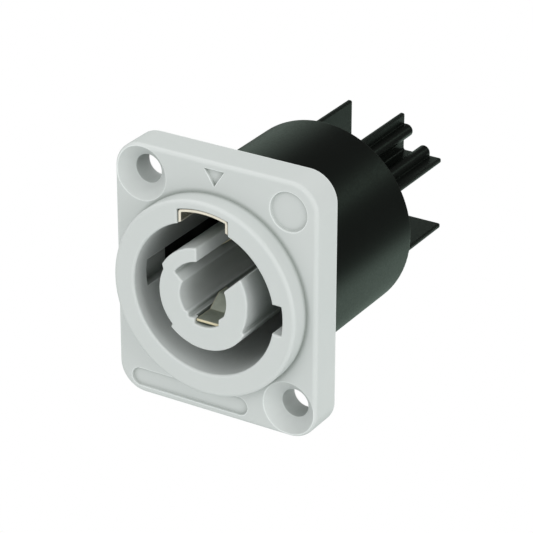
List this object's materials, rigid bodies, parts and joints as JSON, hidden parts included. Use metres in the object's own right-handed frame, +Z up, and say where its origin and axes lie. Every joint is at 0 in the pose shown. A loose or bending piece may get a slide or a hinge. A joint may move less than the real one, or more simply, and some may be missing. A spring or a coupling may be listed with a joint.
{
  "type": "panel mount power connector",
  "caption": "Chassis power socket: rectangular grey flange with a round keyed socket and C shaped core, black rear insulator with terminal bays.",
  "frame": {"origin": "on the connector's axis, in the plane of the flange's back face, which meets the panel", "axes": "+Y along the axis into the panel, so the socket faces -Y; +X to the right and +Z up as seen from the front"},
  "size_m": [0.026, 0.0382, 0.031],
  "materials": {
    "grey_plastic": "satin, light grey glass filled nylon",
    "black_plastic": "satin, black glass filled nylon",
    "nickel_steel": "nickel plated spring steel sheet",
    "silver_brass": "silver plated brass, bright"
  },
  "bodies": {
    "root": {"front_housing": "grey_plastic", "contact_carrier": "grey_plastic", "rear_body": "black_plastic", "lock_plate": "nickel_steel", "line_contact": "silver_brass", "neutral_contact": "silver_brass", "earth_contact": "silver_brass"}
  },
  "joints": []
}
